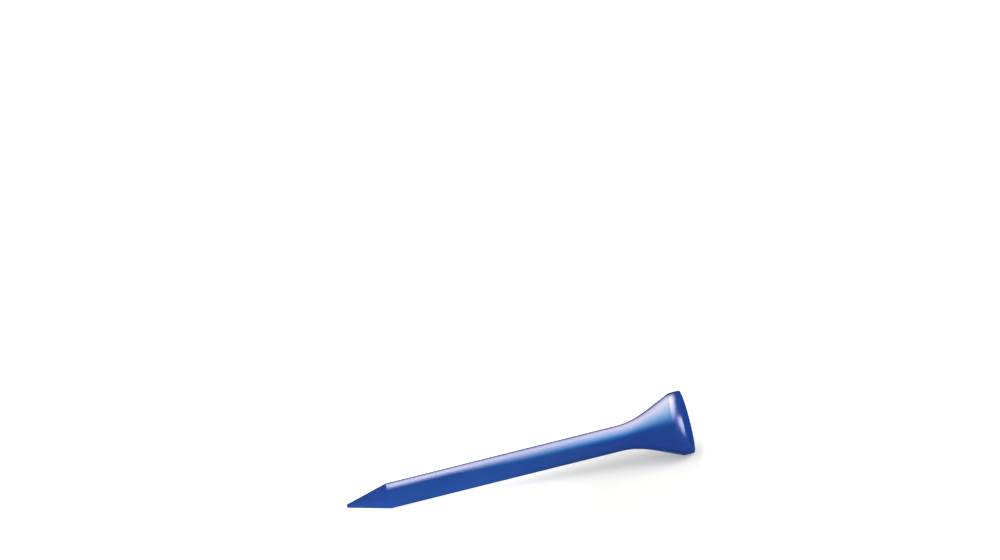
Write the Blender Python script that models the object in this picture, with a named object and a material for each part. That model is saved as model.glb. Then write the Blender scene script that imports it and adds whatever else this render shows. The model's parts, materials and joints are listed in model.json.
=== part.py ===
"""A wooden golf tee: one piece of birch, turned on a lathe and dipped in blue lacquer.

Run it with: blender --background --python part.py

Units are metres and +Z is up. The tee lies on its side, the way it comes to rest on a table:
the middle of the head and the shoulder above the point touch the table, z = 0, and the very
tip is just clear of it. The head is at +X. The origin is on the table, under the middle of
the tee's bounding box.

A tee has no second part: no pin, insert or joint. So the model is one object, tee_body.
"""

import math

import bmesh
import bpy
from mathutils import Vector
from mathutils.geometry import convex_hull_2d, interpolate_bezier

MM = 0.001

# Driving dimensions
LENGTH = 54.0 * MM  # from the tip to the rim, the 2 1/8 inch size
SHAFT_DIAMETER = 3.95 * MM
HEAD_DIAMETER = 9.8 * MM

# The point that goes into the turf
POINT_HALF_ANGLE = math.radians(14.3)
TIP_DIAMETER = 0.55 * MM  # the tip is cut off blunt
TIP_ROUND = 0.06 * MM
SHOULDER_ROUND = 2.0 * MM  # where the point meets the shaft

# The flare from the shaft to the head, a curve that leaves the shaft along it
FLARE_LENGTH = 9.0 * MM
FLARE_NECK_REACH = 3.25 * MM  # how far the curve follows the shaft's direction
FLARE_HEAD_REACH = 3.5 * MM  # how far it follows the head's slope
FLARE_HEAD_SLOPE = math.radians(22)

# The head: a short land round the cup, very slightly barrelled
LAND_LENGTH = 1.7 * MM
LAND_BULGE = 0.03 * MM
LAND_CREASE_ROUND = 0.5 * MM
RIM_OUTER_ROUND = 0.12 * MM
RIM_INNER_ROUND = 0.12 * MM

# The cup that holds the ball, a shallow part of a sphere
CUP_DIAMETER = 8.3 * MM
CUP_DEPTH = 2.2 * MM

# Fineness of the facets
FACETS = 40  # round the tee, a multiple of 4 so that flats face down and sideways
FLARE_POINTS = 15
LAND_STEPS = 4
CUP_STEPS = 8
ROUND_STEPS = 3
WELD = 0.005 * MM

LACQUER_BLUE = (0.014, 0.069, 0.349, 1.0)
LACQUER_ROUGHNESS = 0.16


def point_outline():
    """The blunt tip and its cone, as (height, radius, rounding) corners."""
    tip, shaft = TIP_DIAMETER / 2, SHAFT_DIAMETER / 2
    shoulder_height = (shaft - tip) / math.tan(POINT_HALF_ANGLE)
    return [
        (0.0, 0.0, 0.0),
        (0.0, tip, TIP_ROUND),
        (shoulder_height, shaft, SHOULDER_ROUND),
    ]


def flare_outline():
    """The curve from the shaft up to the crease under the head."""
    head_height = LENGTH - LAND_LENGTH
    neck = Vector((head_height - FLARE_LENGTH, SHAFT_DIAMETER / 2))
    crease = Vector((head_height, HEAD_DIAMETER / 2 - LAND_BULGE))
    slope = Vector((math.cos(FLARE_HEAD_SLOPE), math.sin(FLARE_HEAD_SLOPE)))
    curve = interpolate_bezier(
        neck,
        neck + Vector((FLARE_NECK_REACH, 0)),
        crease - slope * FLARE_HEAD_REACH,
        crease,
        FLARE_POINTS,
    )
    corners = [(point.x, point.y, 0.0) for point in curve[:-1]]
    return corners + [(crease.x, crease.y, LAND_CREASE_ROUND)]


def land_outline():
    """The barrelled land between the crease and the rim, without its two ends."""
    corners = []
    for step in range(1, LAND_STEPS):
        along = step / LAND_STEPS
        drop = LAND_BULGE * (2 * along - 1) ** 2
        height = LENGTH - LAND_LENGTH * (1 - along)
        corners.append((height, HEAD_DIAMETER / 2 - drop, 0.0))
    return corners


def cup_outline():
    """The rim's two edges and the hollow, down to the middle of the cup."""
    mouth = CUP_DIAMETER / 2
    sphere = (mouth**2 + CUP_DEPTH**2) / (2 * CUP_DEPTH)
    opening = math.asin(mouth / sphere)
    corners = [
        (LENGTH, HEAD_DIAMETER / 2 - LAND_BULGE, RIM_OUTER_ROUND),
        (LENGTH, mouth, RIM_INNER_ROUND),
    ]
    for step in range(1, CUP_STEPS + 1):
        angle = opening * (1 - step / CUP_STEPS)
        height = LENGTH - CUP_DEPTH + sphere * (1 - math.cos(angle))
        corners.append((height, sphere * math.sin(angle), 0.0))
    return corners


def rounded(corners):
    """Points of an outline whose (height, radius, rounding) corners become curves."""
    points = []
    for index, (height, radius, rounding) in enumerate(corners):
        corner = Vector((height, radius))
        if rounding == 0:
            points.append(corner)
            continue
        before = (Vector(corners[index - 1][:2]) - corner).normalized()
        after = (Vector(corners[index + 1][:2]) - corner).normalized()
        turn = math.pi - before.angle(after)
        start = rounding * math.tan(turn / 2)  # an arc of this radius starts here
        handle = start - rounding * math.tan(turn / 4) * 4 / 3
        points += interpolate_bezier(
            corner + before * start,
            corner + before * handle,
            corner + after * handle,
            corner + after * start,
            ROUND_STEPS + 1,
        )
    return points


def turned(name, outline):
    """A solid of revolution about +Z from (height, radius) points, as a lathe cuts it.

    The middles of its facets lie on the true round, so its box has the true diameter.
    """
    shape = bmesh.new()
    corner = 1 / math.cos(math.pi / FACETS)
    verts = [shape.verts.new((radius * corner, 0, height)) for height, radius in outline]
    edges = [shape.edges.new(pair) for pair in zip(verts, verts[1:])]
    bmesh.ops.spin(
        shape,
        geom=verts + edges,
        axis=(0, 0, 1),
        cent=(0, 0, 0),
        steps=FACETS,
        angle=2 * math.pi,
        use_merge=True,
    )
    bmesh.ops.remove_doubles(shape, verts=shape.verts[:], dist=WELD)
    bmesh.ops.recalc_face_normals(shape, faces=shape.faces[:])
    mesh = bpy.data.meshes.new(name)
    shape.to_mesh(mesh)
    shape.free()
    mesh.shade_smooth()
    mesh.set_sharp_from_angle(angle=math.radians(30))
    solid = bpy.data.objects.new(name, mesh)
    bpy.context.scene.collection.objects.link(solid)
    return solid


def resting_tilt(outline):
    """How far the axis rises towards the head when the tee lies down.

    It lies on the longest edge of its section's convex hull, from shoulder to head.
    """
    section = list(outline) + [Vector((p.x, -p.y)) for p in outline]
    hull = [section[index] for index in convex_hull_2d(section)]
    sides = zip(hull, hull[1:] + hull[:1])
    foot = max(sides, key=lambda ends: (ends[1] - ends[0]).length)
    low, high = sorted(foot, key=lambda point: point.x)
    return math.atan2(abs(high.y) - abs(low.y), high.x - low.x)


def lay_down(tee, tilt):
    """Lays the tee along +X on z = 0, one facet down, centred on the origin."""
    axis = bpy.data.objects.new("tee_axis", None)
    bpy.context.scene.collection.objects.link(axis)
    tee.parent = axis
    tee.rotation_euler.z = math.pi / FACETS
    axis.rotation_euler.y = math.pi / 2 - tilt
    bpy.context.view_layer.update()
    corners = [tee.matrix_world @ vertex.co for vertex in tee.data.vertices]
    along = [corner.x for corner in corners]
    lowest = min(corner.z for corner in corners)
    axis.location = (-(min(along) + max(along)) / 2, 0, -lowest)


def lacquer():
    """Glossy blue lacquer."""
    material = bpy.data.materials.new("blue_lacquer")
    material.use_nodes = True
    shader = material.node_tree.nodes["Principled BSDF"]
    shader.inputs["Base Color"].default_value = LACQUER_BLUE
    shader.inputs["Roughness"].default_value = LACQUER_ROUGHNESS
    shader.inputs["Metallic"].default_value = 0.0
    material.diffuse_color = LACQUER_BLUE
    return material


def main():
    for old in list(bpy.data.objects):
        bpy.data.objects.remove(old)
    outline = rounded(
        point_outline() + flare_outline() + land_outline() + cup_outline()
    )
    tee = turned("tee_body", outline)
    tee.data.materials.append(lacquer())
    lay_down(tee, resting_tilt(outline))


main()
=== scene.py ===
"""The looks of the wooden golf tee: turned birch under a glossy coat of blue lacquer.

The tee's fine surface is made here, on the frame's own axis and to its size, and stands for
the CAD node tee_body. Units are metres and +Z is up.
"""

import json
import math

import bmesh
import bpy
from mathutils import Matrix, Vector
from mathutils.geometry import interpolate_bezier


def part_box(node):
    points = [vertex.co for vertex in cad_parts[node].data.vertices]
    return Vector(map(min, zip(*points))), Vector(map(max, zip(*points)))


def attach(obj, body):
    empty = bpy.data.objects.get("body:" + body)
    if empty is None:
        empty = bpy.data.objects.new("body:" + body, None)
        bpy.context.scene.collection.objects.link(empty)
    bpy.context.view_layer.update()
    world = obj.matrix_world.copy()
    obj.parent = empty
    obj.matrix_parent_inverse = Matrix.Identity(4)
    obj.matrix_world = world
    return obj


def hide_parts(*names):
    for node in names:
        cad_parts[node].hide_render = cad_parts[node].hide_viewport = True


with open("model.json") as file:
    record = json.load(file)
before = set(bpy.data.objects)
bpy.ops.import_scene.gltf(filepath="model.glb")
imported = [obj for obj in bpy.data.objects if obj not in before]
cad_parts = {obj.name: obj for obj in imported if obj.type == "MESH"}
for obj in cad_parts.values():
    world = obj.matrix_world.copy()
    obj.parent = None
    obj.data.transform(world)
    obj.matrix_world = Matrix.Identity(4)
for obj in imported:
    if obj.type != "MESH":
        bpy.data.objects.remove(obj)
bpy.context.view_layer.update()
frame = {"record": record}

MM = 0.001

# The tee's own sizes, as in the CAD
LENGTH = 54.0 * MM
SHAFT_RADIUS = 1.975 * MM
HEAD_RADIUS = 4.9 * MM
POINT_HALF_ANGLE = math.radians(14.3)
TIP_RADIUS = 0.275 * MM
TIP_ROUND = 0.06 * MM
SHOULDER_ROUND = 2.0 * MM
FLARE_LENGTH = 9.0 * MM
FLARE_NECK_REACH = 3.25 * MM
FLARE_HEAD_REACH = 3.5 * MM
FLARE_HEAD_SLOPE = math.radians(22)
LAND_LENGTH = 1.7 * MM
LAND_BULGE = 0.03 * MM
LAND_CREASE_ROUND = 0.5 * MM
RIM_OUTER_ROUND = 0.12 * MM
RIM_INNER_ROUND = 0.12 * MM
CUP_RADIUS = 4.15 * MM
CUP_DEPTH = 2.2 * MM

# Fineness of the surface
SEGMENTS = 192  # round the tee
ROUND_STEPS = 8
FLARE_STEPS = 48
LAND_STEPS = 12
CUP_STEPS = 40
LONGEST_STEP = 0.4 * MM  # along straight stretches
SHRINK = 0.9998  # the round mesh against the faceted one, so that it stays inside the box

# The lacquer's colours
BLUE_THICK = (0.0137, 0.068, 0.318)
BLUE_THIN = (0.0153, 0.0745, 0.338)
# painted light: the point is lighter, to even out the shade that falls on the cone
BLUE_POINT_LIT = (0.0142, 0.072, 0.37)
BLUE_FLARE = (0.0105, 0.060, 0.334)  # a deeper blue on the flare
# painted shade: the head is darker all round, standing in for the shade on its underside
BLUE_HEAD_SHADE = (0.0105, 0.057, 0.305)
# painted shade: the cup's hollow is darker
BLUE_CUP_SHADE = (0.008, 0.048, 0.25)

# Where the finish changes, as heights above the tip that a change starts and ends at. The point's
# lighter blue is painted light, and the head's and the cup's darker blues are painted shade.
POINT_LIGHT_HEIGHTS = (6.5 * MM, 9 * MM)
POINT_GLOSS = (5.5 * MM, 6.7 * MM)
FLARE_TINT = (36 * MM, 47 * MM)
HEAD_SHADE_HEIGHTS = (49.5 * MM, 52 * MM)
CUP_HEIGHTS = (50.5 * MM, 51.5 * MM)
CUP_RADII = (3.9 * MM, 4.3 * MM)  # the cup's painted shade and its cutter rings end between these

# The wood's growth rings, and how the grain shows as a share of the lacquer's colour
RING_PITCH = 1.1 * MM
RING_SWAY = 1.3 * MM
RING_SLANT = 0.35
TONE_LEAST = 0.92
TONE_FIBRES = 0.16
TONE_RINGS = -0.05
TONE_PORES = -0.12

# The lacquer's gloss and its relief
ROUGHNESS_LEAST = 0.075
ROUGHNESS_HANDLED = 0.06  # added in the dullest patches
ROUGHNESS_FIBRES = 0.03
ROUGHNESS_POINT = 0.08
LACQUER_IOR = 1.5
MICRON = 1e-6
FIBRE_RELIEF = 1.6 * MICRON
PORE_RELIEF = -1.2 * MICRON
PEEL_RELIEF = 2.2 * MICRON
CUTTER_RELIEF = 0.15 * MICRON
CUTTER_PITCH = 0.27 * MM
CUP_RELIEF = 0.8 * MICRON
CUP_PITCH = 0.36 * MM

# The table's white, and how strongly it glows
FLOOR_HALF = 3.0
SHEET_WHITE = (0.75, 0.747, 0.728)
GLOW_WHITE = (1, 1, 0.985)
GLOW_FULL = 0.78
GLOW_ADDED_FAR = 0.25
GLOW_ADDED_LEFT = 0.12  # for the camera only
LEFT_FADES = (-14 * MM, -4 * MM)  # at these x

# Its shaded part, an oval round the head and the upper shaft, which glows less
GLOW_WARM = (1, 1, 0.95)
GLOW_LEAST_SEEN = 0.35  # as the camera sees it
GLOW_LEAST_CAST = 0.15  # as light on the tee
SHADED_MIDDLE = (13 * MM, -3 * MM, 0)
SHADED_RADII = (15 * MM, 17 * MM, 1)
SHADED_EDGE = (0.95, 1.4)  # as shares of the oval's radii
FAR_EDGE = (3, 8)
SHADED_STARTS = (-8 * MM, 15 * MM)  # at these x
SHADED_ENDS = (27.4 * MM, 30.4 * MM)

# The light that falls on the table, as shares of full white
KEY_LEVEL = 0.5  # the big lamp's
DOME_LEVEL = 0.22  # the surroundings' from every side
LEFT_LEVEL = 1.4  # and what is added towards the left
DOME_WARM = (1, 0.985, 0.955)

# The big lamp
KEY_AZIMUTH = math.radians(-12)
KEY_ELEVATION = math.radians(30)
KEY_DISTANCE = 0.5
KEY_SIZE = 0.62

# The far surroundings as the lacquer reflects them. A patch is its azimuth, elevation, and the
# radii that it starts to fade and ends at, in degrees.
SHINE_DIM = (0.058, 0.058, 0.06)
SHINE_LOW = (0.09, 0.24, 0.36)
SHINE_SIDE = (0.012, 0.05, 0.17)
SHINE_BOX = (3.0, 3.0, 3.1)
LOW_PATCH = (120, -30, 6, 26)
SIDE_PATCH = (80, -18, 10, 17)
FRONT_BOX = (-70, 25, 14, 32)
TOP_BOX = (90, 78, 8, 22)

# The light tent, in mm and degrees. An angle of 0 is level in front of the tee, 90 is above it.
TENT_RADIUS = 16.0
TENT_MIDDLE = 5.0  # its axis above the table
TENT_LEFT = -28
TENT_STEP = 0.4
TENT_COLUMNS = 146
TENT_LOWEST = -80
TENT_TURN = 2.5
TENT_ROWS = 101
TENT_GLOW = (0.1, 0.1, 0.12)  # everywhere
TENT_SLANT_TINT = (0.8, 0.94, 0.88)  # where the tent is met aslant
TENT_SLANT = (0.15, 0.32)

# The tent's long strip, which shows along the shaft and the flare. It is brighter at the left
# and in a swell at the flare. A start or an end is the two x that it is soft between.
STRIP_STARTS = (-25.2, -24.3)
STRIP_ENDS = (18.5, 20.5)
STRIP_GLOW = (10.9, 10.3, 11)
STRIP_ADDED_LEFT = 0.14  # as a share
STRIP_LEFT_ENDS = (-16, -2)
STRIP_SWELL = (1.6, 0.6, -0.3)
SWELL_STARTS = (6, 10)
SWELL_ENDS = (14, 17)

# Its edges: at places x, the angles where red, green and blue begin to rise and are full
STRIP_DARK = (
    [(-15, 58), (-1, 26), (5, 25), (10, 22)],
    [(-15, 57), (-1, 15), (10, 11), (16, 8)],
    [(-15, 55), (-1, 11), (10, 9), (16, 3)],
)
STRIP_FULL = (
    [(-15, 121), (-1, 108), (10, 112)],
    [(-15, 121), (-1, 107), (10, 90)],
    [(-15, 120), (-1, 105), (10, 76)],
)
STRIP_FADES = 103  # the angle where it starts to fade towards the back
STRIP_BACK = [(-18, 173), (8, 166)]  # and where it ends, at places x

# The patch that shows on the crease below the head. A rise or a fall is in degrees.
CROWN_GLOW = (18, 17, 16.5)
CROWN_STARTS = (20.5, 21.5)
CROWN_ENDS = (23, 24.5)
CROWN_RISES = ((20, 82), (18, 80), (12, 76))  # of red, green and blue
CROWN_FALLS = (95, 150)

# The patch that shows on the land beside the cup, and a dim one to its left
FRONT_GLOW = (15, 14.8, 16.5)
FRONT_START = 25.6  # at an angle of 0
FRONT_LEAN = 0.03  # how much further left it starts for each degree up
FRONT_SOFT = 0.6
FRONT_ENDS = (27.2, 28.2)
FRONT_RISES = (-36, 16)
FRONT_FALLS = (22, 50)
DIM_GLOW = (2.2, 1.7, 2.2)
DIM_STARTS = (23.2, 24.6)
DIM_ENDS = (25, 26)
DIM_RISES = (-10, 20)
DIM_FALLS = (40, 80)

# The violet light from low in front, stronger towards the head
LOW_GLOW = (0.14, 0.0, 0.25)
LOW_STARTS = (0, 18)
LOW_FALLS = (-25, 5)

# The camera, low in front of the tee, and rolled so that the tee rises to the right
CAMERA_AZIMUTH = math.radians(7.14)  # from straight in front, towards the head
CAMERA_ELEVATION = math.radians(18)
CAMERA_ROLL = math.radians(-13.07)
CAMERA_DISTANCE = 635.6 * MM
CAMERA_LENS = 150
CAMERA_AIM = Vector((2.73, 9.04, 29.795)) * MM  # above and behind the tee, which is low in view


# ---------------------------------------------------------------- the tee's outline


def point_outline():
    """The blunt tip and its cone, as (height, radius, rounding) corners."""
    shoulder = (SHAFT_RADIUS - TIP_RADIUS) / math.tan(POINT_HALF_ANGLE)
    return [
        (0.0, 0.0, 0.0),
        (0.0, TIP_RADIUS, TIP_ROUND),
        (shoulder, SHAFT_RADIUS, SHOULDER_ROUND),
    ]


def flare_outline():
    """The curve from the shaft up to the crease under the head."""
    head_height = LENGTH - LAND_LENGTH
    neck = Vector((head_height - FLARE_LENGTH, SHAFT_RADIUS))
    crease = Vector((head_height, HEAD_RADIUS - LAND_BULGE))
    slope = Vector((math.cos(FLARE_HEAD_SLOPE), math.sin(FLARE_HEAD_SLOPE)))
    curve = interpolate_bezier(
        neck,
        neck + Vector((FLARE_NECK_REACH, 0)),
        crease - slope * FLARE_HEAD_REACH,
        crease,
        FLARE_STEPS + 1,
    )
    corners = [(point.x, point.y, 0.0) for point in curve[:-1]]
    return corners + [(crease.x, crease.y, LAND_CREASE_ROUND)]


def land_outline():
    """The barrelled land between the crease and the rim, without its two ends."""
    corners = []
    for step in range(2, LAND_STEPS - 1):
        along = step / LAND_STEPS
        drop = LAND_BULGE * (2 * along - 1) ** 2
        corners.append((LENGTH - LAND_LENGTH * (1 - along), HEAD_RADIUS - drop, 0.0))
    return corners


def cup_outline():
    """The rim's two edges and the hollow, down to the middle of the cup."""
    sphere = (CUP_RADIUS**2 + CUP_DEPTH**2) / (2 * CUP_DEPTH)
    opening = math.asin(CUP_RADIUS / sphere)
    corners = [
        (LENGTH, HEAD_RADIUS - LAND_BULGE, RIM_OUTER_ROUND),
        (LENGTH, CUP_RADIUS, RIM_INNER_ROUND),
    ]
    for step in range(1, CUP_STEPS + 1):
        angle = opening * (1 - step / CUP_STEPS)
        height = LENGTH - CUP_DEPTH + sphere * (1 - math.cos(angle))
        corners.append((height, sphere * math.sin(angle), 0.0))
    return corners


def rounded(corners):
    """Points of an outline whose (height, radius, rounding) corners become curves."""
    points = []
    for index, (height, radius, rounding) in enumerate(corners):
        corner = Vector((height, radius))
        if rounding == 0:
            points.append(corner)
            continue
        before = (Vector(corners[index - 1][:2]) - corner).normalized()
        after = (Vector(corners[index + 1][:2]) - corner).normalized()
        turn = math.pi - before.angle(after)
        start = rounding * math.tan(turn / 2)
        handle = start - rounding * math.tan(turn / 4) * 4 / 3
        points += interpolate_bezier(
            corner + before * start,
            corner + before * handle,
            corner + after * handle,
            corner + after * start,
            ROUND_STEPS + 1,
        )
    return points


def divided(points):
    """The same outline with its long straight stretches cut into short ones."""
    fine = [points[0]]
    for start, end in zip(points, points[1:]):
        count = max(1, math.ceil((end - start).length / LONGEST_STEP))
        fine += [start.lerp(end, step / count) for step in range(1, count + 1)]
    return fine


# ---------------------------------------------------------------- the tee's surface


def turned(name, outline):
    """A solid of revolution about +Z from (height, radius) points."""
    shape = bmesh.new()
    rings = []
    for height, radius in outline:
        count = SEGMENTS if radius > 0 else 1
        angles = [2 * math.pi * step / SEGMENTS for step in range(count)]
        ring = []
        for angle in angles:
            place = (radius * math.cos(angle), radius * math.sin(angle), height)
            ring.append(shape.verts.new(place))
        rings.append(ring)
    for lower, upper in zip(rings, rings[1:]):
        for step in range(SEGMENTS):
            following = (step + 1) % SEGMENTS
            corners = [
                lower[step % len(lower)],
                lower[following % len(lower)],
                upper[following % len(upper)],
                upper[step % len(upper)],
            ]
            shape.faces.new(list(dict.fromkeys(corners)))
    bmesh.ops.recalc_face_normals(shape, faces=shape.faces[:])
    mesh = bpy.data.meshes.new(name)
    shape.to_mesh(mesh)
    shape.free()
    mesh.shade_smooth()
    solid = bpy.data.objects.new(name, mesh)
    bpy.context.scene.collection.objects.link(solid)
    return solid


def place_on_frame(tee):
    """Turns the tee onto the frame's axis and stands it in the middle of the CAD box.

    The mesh itself is moved. Returns the matrix that moved it.
    """
    seat = next(m for m in frame["record"]["mounts"] if m["name"] == "ball_seat")
    axis = Vector(seat["axis"])
    turn = Matrix.Rotation(math.atan2(axis.x, axis.z), 4, "Y") @ Matrix.Scale(SHRINK, 4)
    corners = [turn @ vertex.co for vertex in tee.data.vertices]
    along = [corner.x for corner in corners]
    low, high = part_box("tee_body")
    move = Matrix.Translation((
        (low.x + high.x - min(along) - max(along)) / 2,
        0,
        low.z - min(corner.z for corner in corners),
    ))
    tee.data.transform(move @ turn)
    return move @ turn


# ---------------------------------------------------------------- materials


def add_node(tree, kind, settings=None, **inputs):
    """A new shader node, its inputs set to values or linked to other nodes' outputs."""
    node = tree.nodes.new(kind)
    for key, value in (settings or {}).items():
        setattr(node, key, value)
    for key, value in inputs.items():
        socket = node.inputs[int(key[1:])] if key[1:].isdigit() else node.inputs[key]
        if isinstance(value, bpy.types.NodeSocket):
            tree.links.new(value, socket)
        else:
            socket.default_value = value
    return node


def math_node(tree, operation, *values):
    """The output of a math node on up to three values or sockets."""
    inputs = {f"_{index}": value for index, value in enumerate(values)}
    return add_node(tree, "ShaderNodeMath", {"operation": operation}, **inputs).outputs[0]


def blend_node(tree, share, low, high):
    """The output of a colour mix from low to high."""
    node = add_node(tree, "ShaderNodeMix", {"data_type": "RGBA"}, _0=share)
    for socket, value in ((node.inputs[6], low), (node.inputs[7], high)):
        if isinstance(value, bpy.types.NodeSocket):
            tree.links.new(value, socket)
        else:
            socket.default_value = (*value, 1)
    return node.outputs[2]


def band_node(tree, value, low, high, start=0.0, end=1.0):
    """The output of a soft step: start below low, end above high."""
    node = add_node(
        tree, "ShaderNodeMapRange", {"interpolation_type": "SMOOTHSTEP"},
        Value=value, _1=low, _2=high, _3=start, _4=end,
    )
    return node.outputs["Result"]


def length_node(tree, vector):
    """The output that gives a vector's length."""
    node = add_node(tree, "ShaderNodeVectorMath", {"operation": "LENGTH"}, _0=vector)
    return node.outputs["Value"]


def noise_node(tree, place, cell, detail=2.0, offset=0.0):
    """The output of a noise, 0 to 1, with cells of the given size in mm on each axis."""
    scale = [1 / (size * MM) for size in cell]
    mapping = add_node(
        tree, "ShaderNodeMapping", None, Vector=place, Scale=scale, Location=(offset,) * 3
    )
    node = add_node(
        tree, "ShaderNodeTexNoise", None,
        Vector=mapping.outputs[0], Scale=1.0, Detail=detail, Roughness=0.55,
    )
    return node.outputs["Fac"]


def own_place(tree, placing):
    """Shader coordinates in the tee's own frame, +Z from the tip to the cup."""
    coordinates = add_node(tree, "ShaderNodeTexCoord")
    mapping = add_node(
        tree, "ShaderNodeMapping", {"vector_type": "TEXTURE"},
        Vector=coordinates.outputs["Object"],
        Location=placing.to_translation(), Rotation=placing.to_euler(),
    )
    return mapping.outputs[0]


def grain(tree, place):
    """The wood under the lacquer: (fibres, growth rings, pores), each 0 to 1."""
    fibres = noise_node(tree, place, (0.13, 0.13, 5.0), detail=4.0)
    parts = add_node(tree, "ShaderNodeSeparateXYZ", None, Vector=place)
    sway = noise_node(tree, place, (3.0, 3.0, 22.0), offset=3.7)
    depth = math_node(tree, "MULTIPLY_ADD", parts.outputs["Y"], RING_SLANT, parts.outputs["X"])
    depth = math_node(tree, "MULTIPLY_ADD", sway, RING_SWAY, depth)
    phase = math_node(tree, "FRACT", math_node(tree, "MULTIPLY", depth, 1 / RING_PITCH))
    late = band_node(tree, phase, 0.35, 0.93)
    early = band_node(tree, phase, 0.94, 1.0, 1.0, 0.0)
    rings = math_node(tree, "MULTIPLY", late, early)
    flecks = noise_node(tree, place, (0.07, 0.07, 0.9), detail=1.0, offset=11.0)
    pores = band_node(tree, flecks, 0.66, 0.76)
    return fibres, rings, pores


def cup_share(tree, height, radius):
    """1 in the cup and 0 elsewhere, with a soft edge at its mouth."""
    within = band_node(tree, radius, *CUP_RADII, 1.0, 0.0)
    return math_node(tree, "MULTIPLY", within, band_node(tree, height, *CUP_HEIGHTS))


def lacquer_colour(tree, place, height, cup, wood):
    """Thicker and thinner lacquer, the wood's grain showing faintly through it, with painted
    shade darkening the head and the cup and painted light brightening the point.
    """
    fibres, rings, pores = wood
    film = noise_node(tree, place, (2.6, 2.6, 5.5), detail=3.0, offset=5.0)
    colour = blend_node(tree, band_node(tree, film, 0.3, 0.7), BLUE_THICK, BLUE_THIN)
    colour = blend_node(tree, band_node(tree, height, *FLARE_TINT), colour, BLUE_FLARE)
    # painted shade: the head is darkened
    colour = blend_node(tree, band_node(tree, height, *HEAD_SHADE_HEIGHTS), colour, BLUE_HEAD_SHADE)
    # painted shade in the cup's hollow
    colour = blend_node(tree, cup, colour, BLUE_CUP_SHADE)
    # painted light: the point is brightened
    point = band_node(tree, height, *POINT_LIGHT_HEIGHTS, 1.0, 0.0)
    colour = blend_node(tree, point, colour, BLUE_POINT_LIT)
    tone = math_node(tree, "MULTIPLY_ADD", fibres, TONE_FIBRES, TONE_LEAST)
    tone = math_node(tree, "MULTIPLY_ADD", rings, TONE_RINGS, tone)
    tone = math_node(tree, "MULTIPLY_ADD", pores, TONE_PORES, tone)
    grey = add_node(tree, "ShaderNodeCombineColor", None, _0=tone, _1=tone, _2=tone)
    grained = add_node(
        tree, "ShaderNodeMix", {"data_type": "RGBA", "blend_type": "MULTIPLY"},
        _0=1.0, _6=colour, _7=grey.outputs[0],
    )
    return grained.outputs[2]


def lacquer_roughness(tree, place, height, fibres):
    """Glossy, in handled patches a little duller, and duller still on the point."""
    patches = noise_node(tree, place, (1.5, 1.5, 3.5), detail=4.0, offset=8.0)
    rough = math_node(tree, "MULTIPLY_ADD", patches, ROUGHNESS_HANDLED, ROUGHNESS_LEAST)
    rough = math_node(tree, "MULTIPLY_ADD", fibres, ROUGHNESS_FIBRES, rough)
    point = band_node(tree, height, *POINT_GLOSS, ROUGHNESS_POINT, 0.0)
    return math_node(tree, "ADD", rough, point)


def ripples(tree, distance, pitch):
    """Waves, -1 to 1, of the given pitch over a distance."""
    return math_node(tree, "SINE", math_node(tree, "MULTIPLY", distance, math.tau / pitch))


def lacquer_normal(tree, place, height, radius, cup, wood):
    """Fibres and pores felt through the film, its orange peel, and the cutter's rings."""
    fibres, _, pores = wood
    peel = noise_node(tree, place, (0.45, 0.45, 0.6), detail=1.0, offset=2.0)
    wear = noise_node(tree, place, (4.0, 4.0, 3.0), offset=9.0)
    cutter = ripples(tree, height, CUTTER_PITCH)
    cutter = math_node(tree, "MULTIPLY", cutter, band_node(tree, wear, 0.45, 0.7))
    rounds = math_node(tree, "MULTIPLY", ripples(tree, radius, CUP_PITCH), cup)
    relief = math_node(tree, "MULTIPLY", fibres, FIBRE_RELIEF)
    relief = math_node(tree, "MULTIPLY_ADD", pores, PORE_RELIEF, relief)
    relief = math_node(tree, "MULTIPLY_ADD", peel, PEEL_RELIEF, relief)
    relief = math_node(tree, "MULTIPLY_ADD", cutter, CUTTER_RELIEF, relief)
    relief = math_node(tree, "MULTIPLY_ADD", rounds, CUP_RELIEF, relief)
    bump = add_node(tree, "ShaderNodeBump", None, Height=relief, Distance=1.0, Strength=1.0)
    return bump.outputs[0]


def lacquer(placing):
    """Glossy blue lacquer over fine-grained wood."""
    material = bpy.data.materials.new("blue_lacquer")
    material.use_nodes = True
    tree = material.node_tree
    place = own_place(tree, placing)
    wood = grain(tree, place)
    x, y, height = add_node(tree, "ShaderNodeSeparateXYZ", None, Vector=place).outputs
    across = add_node(tree, "ShaderNodeCombineXYZ", None, _0=x, _1=y).outputs[0]
    radius = length_node(tree, across)
    cup = cup_share(tree, height, radius)
    shader = tree.nodes["Principled BSDF"]
    shader.inputs["IOR"].default_value = LACQUER_IOR
    for name, output in {
        "Base Color": lacquer_colour(tree, place, height, cup, wood),
        "Roughness": lacquer_roughness(tree, place, height, wood[0]),
        "Normal": lacquer_normal(tree, place, height, radius, cup, wood),
    }.items():
        tree.links.new(output, shader.inputs[name])
    return material


def shaded_share(tree, x, reach):
    """1 on the table round the head and under the upper shaft, 0 elsewhere, softly."""
    shaded = band_node(tree, x, *SHADED_STARTS)
    shaded = math_node(tree, "MULTIPLY", shaded, band_node(tree, reach, *SHADED_EDGE, 1.0, 0.0))
    return math_node(tree, "MULTIPLY", shaded, band_node(tree, x, *SHADED_ENDS, 1.0, 0.0))


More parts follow.
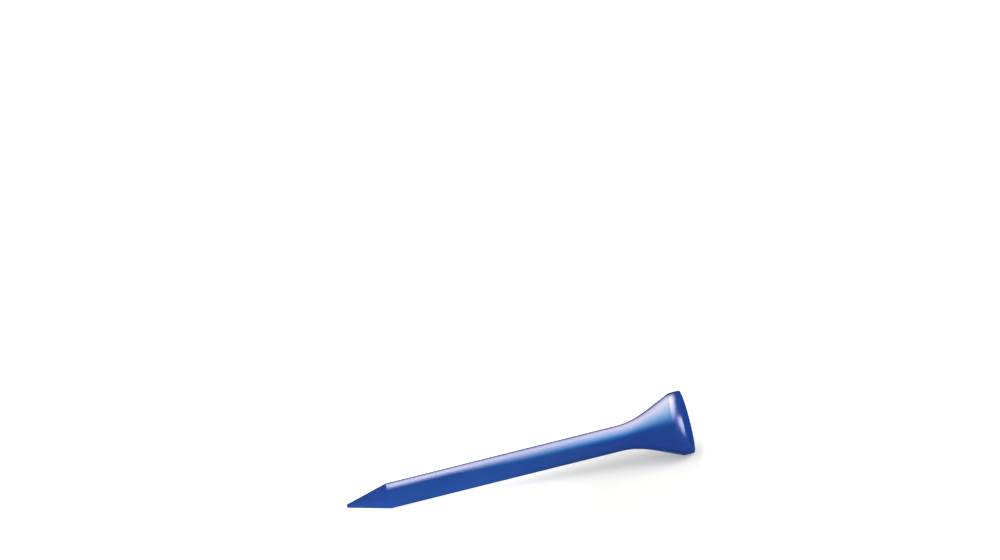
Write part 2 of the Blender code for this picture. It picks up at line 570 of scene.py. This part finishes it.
def white_floor():
    """A plain white table, lit from below except round the head, where a shadow shows."""
    material = bpy.data.materials.new("white_floor")
    material.use_nodes = True
    tree = material.node_tree
    tree.nodes.clear()
    place = add_node(tree, "ShaderNodeTexCoord").outputs["Object"]
    x = add_node(tree, "ShaderNodeSeparateXYZ", None, Vector=place).outputs["X"]
    oval = add_node(
        tree, "ShaderNodeMapping", {"vector_type": "TEXTURE"},
        Vector=place, Location=SHADED_MIDDLE, Scale=SHADED_RADII,
    )
    reach = length_node(tree, oval.outputs[0])
    shaded = shaded_share(tree, x, reach)
    seen = add_node(tree, "ShaderNodeLightPath").outputs["Is Camera Ray"]
    fall = math_node(
        tree, "MULTIPLY_ADD", seen, GLOW_LEAST_SEEN - GLOW_LEAST_CAST, GLOW_LEAST_CAST - GLOW_FULL
    )
    glow = math_node(tree, "MULTIPLY_ADD", shaded, fall, GLOW_FULL)
    left = band_node(tree, x, *LEFT_FADES, GLOW_ADDED_LEFT, 0.0)
    glow = math_node(tree, "MULTIPLY_ADD", left, seen, glow)
    glow = math_node(tree, "ADD", glow, band_node(tree, reach, *FAR_EDGE, 0.0, GLOW_ADDED_FAR))
    colour = blend_node(tree, shaded, GLOW_WHITE, GLOW_WARM)
    sheet = add_node(tree, "ShaderNodeBsdfDiffuse", None, Color=(*SHEET_WHITE, 1))
    lit = add_node(tree, "ShaderNodeEmission", None, Color=colour, Strength=glow)
    both = add_node(tree, "ShaderNodeAddShader", None, _0=sheet.outputs[0], _1=lit.outputs[0])
    add_node(tree, "ShaderNodeOutputMaterial", None, Surface=both.outputs[0])
    return material


# ---------------------------------------------------------------- the studio


def make_floor():
    """A wide flat floor at z = 0."""
    signs = [(-1, -1), (1, -1), (1, 1), (-1, 1)]
    corners = [(x * FLOOR_HALF, y * FLOOR_HALF, 0) for x, y in signs]
    mesh = bpy.data.meshes.new("floor")
    mesh.from_pydata(corners, [], [(0, 1, 2, 3)])
    mesh.materials.append(white_floor())
    floor = bpy.data.objects.new("floor", mesh)
    bpy.context.scene.collection.objects.link(floor)
    floor.visible_glossy = False


def towards(azimuth, elevation):
    """The direction at an azimuth from +X and an elevation, in radians."""
    level = math.cos(elevation)
    return Vector((
        math.cos(azimuth) * level, math.sin(azimuth) * level, math.sin(elevation)
    ))


def smooth(low, high, value):
    """0 below low, 1 above high, and a soft step between them."""
    share = min(1.0, max(0.0, (value - low) / (high - low)))
    return share * share * (3 - 2 * share)


def between(knots, x):
    """The value at x on a line through (x, value) knots."""
    for (left, start), (right, end) in zip(knots, knots[1:]):
        if x <= right:
            share = max(0.0, (x - left) / (right - left))
            return start + (end - start) * share
    return knots[-1][1]


def hump(value, rise, fall):
    """1 between a rise and a fall, 0 before and after them, each a pair that it is soft over."""
    return smooth(*rise, value) * (1 - smooth(*fall, value))


# Each glow is red, green and blue at a place x in mm and an angle in degrees of the tent


def strip_glow(x, angle):
    """The long strip over the shaft and flare, narrower and sharper to the left."""
    ends = hump(x, STRIP_STARTS, STRIP_ENDS)
    ends *= 1 + STRIP_ADDED_LEFT - STRIP_ADDED_LEFT * smooth(*STRIP_LEFT_ENDS, x)
    fade = 1 - smooth(STRIP_FADES, between(STRIP_BACK, x), angle)
    swell = hump(x, SWELL_STARTS, SWELL_ENDS)
    return Vector([
        (glow + added * swell) * ends * smooth(between(dark, x), between(full, x), angle) * fade
        for glow, added, dark, full in zip(STRIP_GLOW, STRIP_SWELL, STRIP_DARK, STRIP_FULL)
    ])


def crown_glow(x, angle):
    """A short bright patch that shows on the crease below the head."""
    glow = [level * smooth(*rise, angle) for level, rise in zip(CROWN_GLOW, CROWN_RISES)]
    return Vector(glow) * hump(x, CROWN_STARTS, CROWN_ENDS) * (1 - smooth(*CROWN_FALLS, angle))


def front_glow(x, angle):
    """A low patch in front that shows on the land beside the cup, and a dim one beside it."""
    start = FRONT_START - FRONT_LEAN * angle
    ends = hump(x, (start - FRONT_SOFT, start + FRONT_SOFT), FRONT_ENDS)
    bright = Vector(FRONT_GLOW) * ends * hump(angle, FRONT_RISES, FRONT_FALLS)
    dim = hump(x, DIM_STARTS, DIM_ENDS) * hump(angle, DIM_RISES, DIM_FALLS)
    return bright + Vector(DIM_GLOW) * dim


def low_glow(x, angle):
    """A faint violet light from low in front, on the underside towards the head."""
    return Vector(LOW_GLOW) * smooth(*LOW_STARTS, x) * (1 - smooth(*LOW_FALLS, angle))


def tent_glow(x, angle):
    """All that the tent gives at one place."""
    glow = strip_glow(x, angle) + crown_glow(x, angle) + front_glow(x, angle)
    return glow + low_glow(x, angle) + Vector(TENT_GLOW)


def tent_sheet():
    """A part of a cylinder round the tee's length, with its glow at each corner."""
    columns = [TENT_LEFT + TENT_STEP * step for step in range(TENT_COLUMNS)]
    angles = [TENT_LOWEST + TENT_TURN * step for step in range(TENT_ROWS)]
    places, glows, faces = [], [], []
    for x in columns:
        for angle in angles:
            turn = math.radians(angle)
            out, up = TENT_RADIUS * math.cos(turn), TENT_RADIUS * math.sin(turn)
            places.append(Vector((x, -out, TENT_MIDDLE + up)) * MM)
            glows.extend(tent_glow(x, angle))
    for column in range(TENT_COLUMNS - 1):
        for row in range(TENT_ROWS - 1):
            first = column * TENT_ROWS + row
            faces.append((first, first + 1, first + TENT_ROWS + 1, first + TENT_ROWS))
    mesh = bpy.data.meshes.new("light_tent")
    mesh.from_pydata(places, [], faces)
    mesh.attributes.new("glow", "FLOAT_VECTOR", "POINT").data.foreach_set("vector", glows)
    return mesh


def tent_light():
    """The sheet's glow, tinted where it is met aslant, as through a louvre."""
    material = bpy.data.materials.new("light_tent")
    material.use_nodes = True
    tree = material.node_tree
    tree.nodes.clear()
    glow = add_node(tree, "ShaderNodeAttribute", {"attribute_name": "glow"})
    slant = add_node(tree, "ShaderNodeLayerWeight", None, Blend=0.5).outputs["Facing"]
    tint = blend_node(tree, band_node(tree, slant, *TENT_SLANT), (1, 1, 1), TENT_SLANT_TINT)
    tinted = add_node(
        tree, "ShaderNodeVectorMath", {"operation": "MULTIPLY"},
        _0=glow.outputs["Vector"], _1=tint,
    )
    shine = add_node(
        tree, "ShaderNodeEmission", None, Color=tinted.outputs["Vector"], Strength=1.0
    )
    add_node(tree, "ShaderNodeOutputMaterial", None, Surface=shine.outputs[0])
    return material


def make_tent():
    """A light tent close round the tee, which shows only in the lacquer's reflections."""
    mesh = tent_sheet()
    mesh.materials.append(tent_light())
    tent = bpy.data.objects.new("light_tent", mesh)
    bpy.context.scene.collection.objects.link(tent)
    tent.visible_camera = False
    tent.visible_diffuse = False
    tent.visible_shadow = False


def make_key():
    """A big soft lamp beyond the head, for the shadow that the head throws along the tee.

    Its power is what lights the table to KEY_LEVEL from its distance and slant.
    """
    away = towards(KEY_AZIMUTH, KEY_ELEVATION)
    light = bpy.data.lights.new("key", "AREA")
    light.shape = "DISK"
    light.size = KEY_SIZE
    light.energy = KEY_LEVEL * math.pi**2 * KEY_DISTANCE**2 / math.sin(KEY_ELEVATION)
    lamp = bpy.data.objects.new("key", light)
    lamp.location = away * KEY_DISTANCE
    lamp.rotation_euler = away.to_track_quat("Z", "Y").to_euler()
    lamp.visible_camera = False
    lamp.visible_glossy = False
    bpy.context.scene.collection.objects.link(lamp)


def far_patch(tree, direction, azimuth, elevation, inner, outer):
    """A round far patch, 1 within the inner angle and 0 beyond the outer, in degrees."""
    centre = towards(math.radians(azimuth), math.radians(elevation))
    near = add_node(
        tree, "ShaderNodeVectorMath", {"operation": "DOT_PRODUCT"}, _0=direction, _1=centre
    )
    return band_node(
        tree, near.outputs["Value"], math.cos(math.radians(outer)), math.cos(math.radians(inner))
    )


def make_world():
    """White to the camera, softer as light, and dim with four soft patches in reflections."""
    world = bpy.data.worlds.new("studio")
    bpy.context.scene.world = world
    world.use_nodes = True
    tree = world.node_tree
    tree.nodes.clear()
    path = add_node(tree, "ShaderNodeLightPath")
    seen = path.outputs["Is Camera Ray"]
    direction = add_node(tree, "ShaderNodeTexCoord").outputs["Generated"]
    x = add_node(tree, "ShaderNodeSeparateXYZ", None, Vector=direction).outputs["X"]
    left = math_node(tree, "MAXIMUM", math_node(tree, "MULTIPLY", x, -1.0), 0.0)
    level = math_node(tree, "MULTIPLY_ADD", left, LEFT_LEVEL, DOME_LEVEL)
    level = math_node(tree, "MAXIMUM", level, seen)
    colour = blend_node(tree, seen, DOME_WARM, (1, 1, 1))
    white = add_node(tree, "ShaderNodeBackground", None, Color=colour, Strength=level)
    boxes = math_node(
        tree, "ADD", far_patch(tree, direction, *FRONT_BOX), far_patch(tree, direction, *TOP_BOX)
    )
    shine = blend_node(tree, far_patch(tree, direction, *LOW_PATCH), SHINE_DIM, SHINE_LOW)
    shine = blend_node(tree, far_patch(tree, direction, *SIDE_PATCH), shine, SHINE_SIDE)
    shine = blend_node(tree, boxes, shine, SHINE_BOX)
    dim = add_node(tree, "ShaderNodeBackground", None, Color=shine, Strength=1.0)
    mixed = add_node(
        tree, "ShaderNodeMixShader", None,
        _0=path.outputs["Is Glossy Ray"], _1=white.outputs[0], _2=dim.outputs[0],
    )
    add_node(tree, "ShaderNodeOutputWorld", None, Surface=mixed.outputs[0])


def make_camera():
    """A long lens, low in front of the tee, turned about its own line of sight."""
    out = towards(CAMERA_AZIMUTH - math.pi / 2, CAMERA_ELEVATION)
    data = bpy.data.cameras.new("camera")
    data.lens = CAMERA_LENS
    data.clip_start = 1 * MM
    data.clip_end = 100
    camera = bpy.data.objects.new("camera", data)
    upright = out.to_track_quat("Z", "Y").to_matrix().to_4x4()
    roll = Matrix.Rotation(CAMERA_ROLL, 4, "Z")
    camera.matrix_world = Matrix.Translation(CAMERA_AIM + out * CAMERA_DISTANCE) @ upright @ roll
    bpy.context.scene.collection.objects.link(camera)
    bpy.context.scene.camera = camera


def main():
    tee = turned("tee", divided(rounded(
        point_outline() + flare_outline() + land_outline() + cup_outline()
    )))
    placing = place_on_frame(tee)
    tee.data.materials.append(lacquer(placing))
    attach(tee, "root")
    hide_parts("tee_body")
    make_floor()
    make_tent()
    make_key()
    make_world()
    make_camera()
    bpy.context.scene.view_settings.view_transform = "Standard"


main()
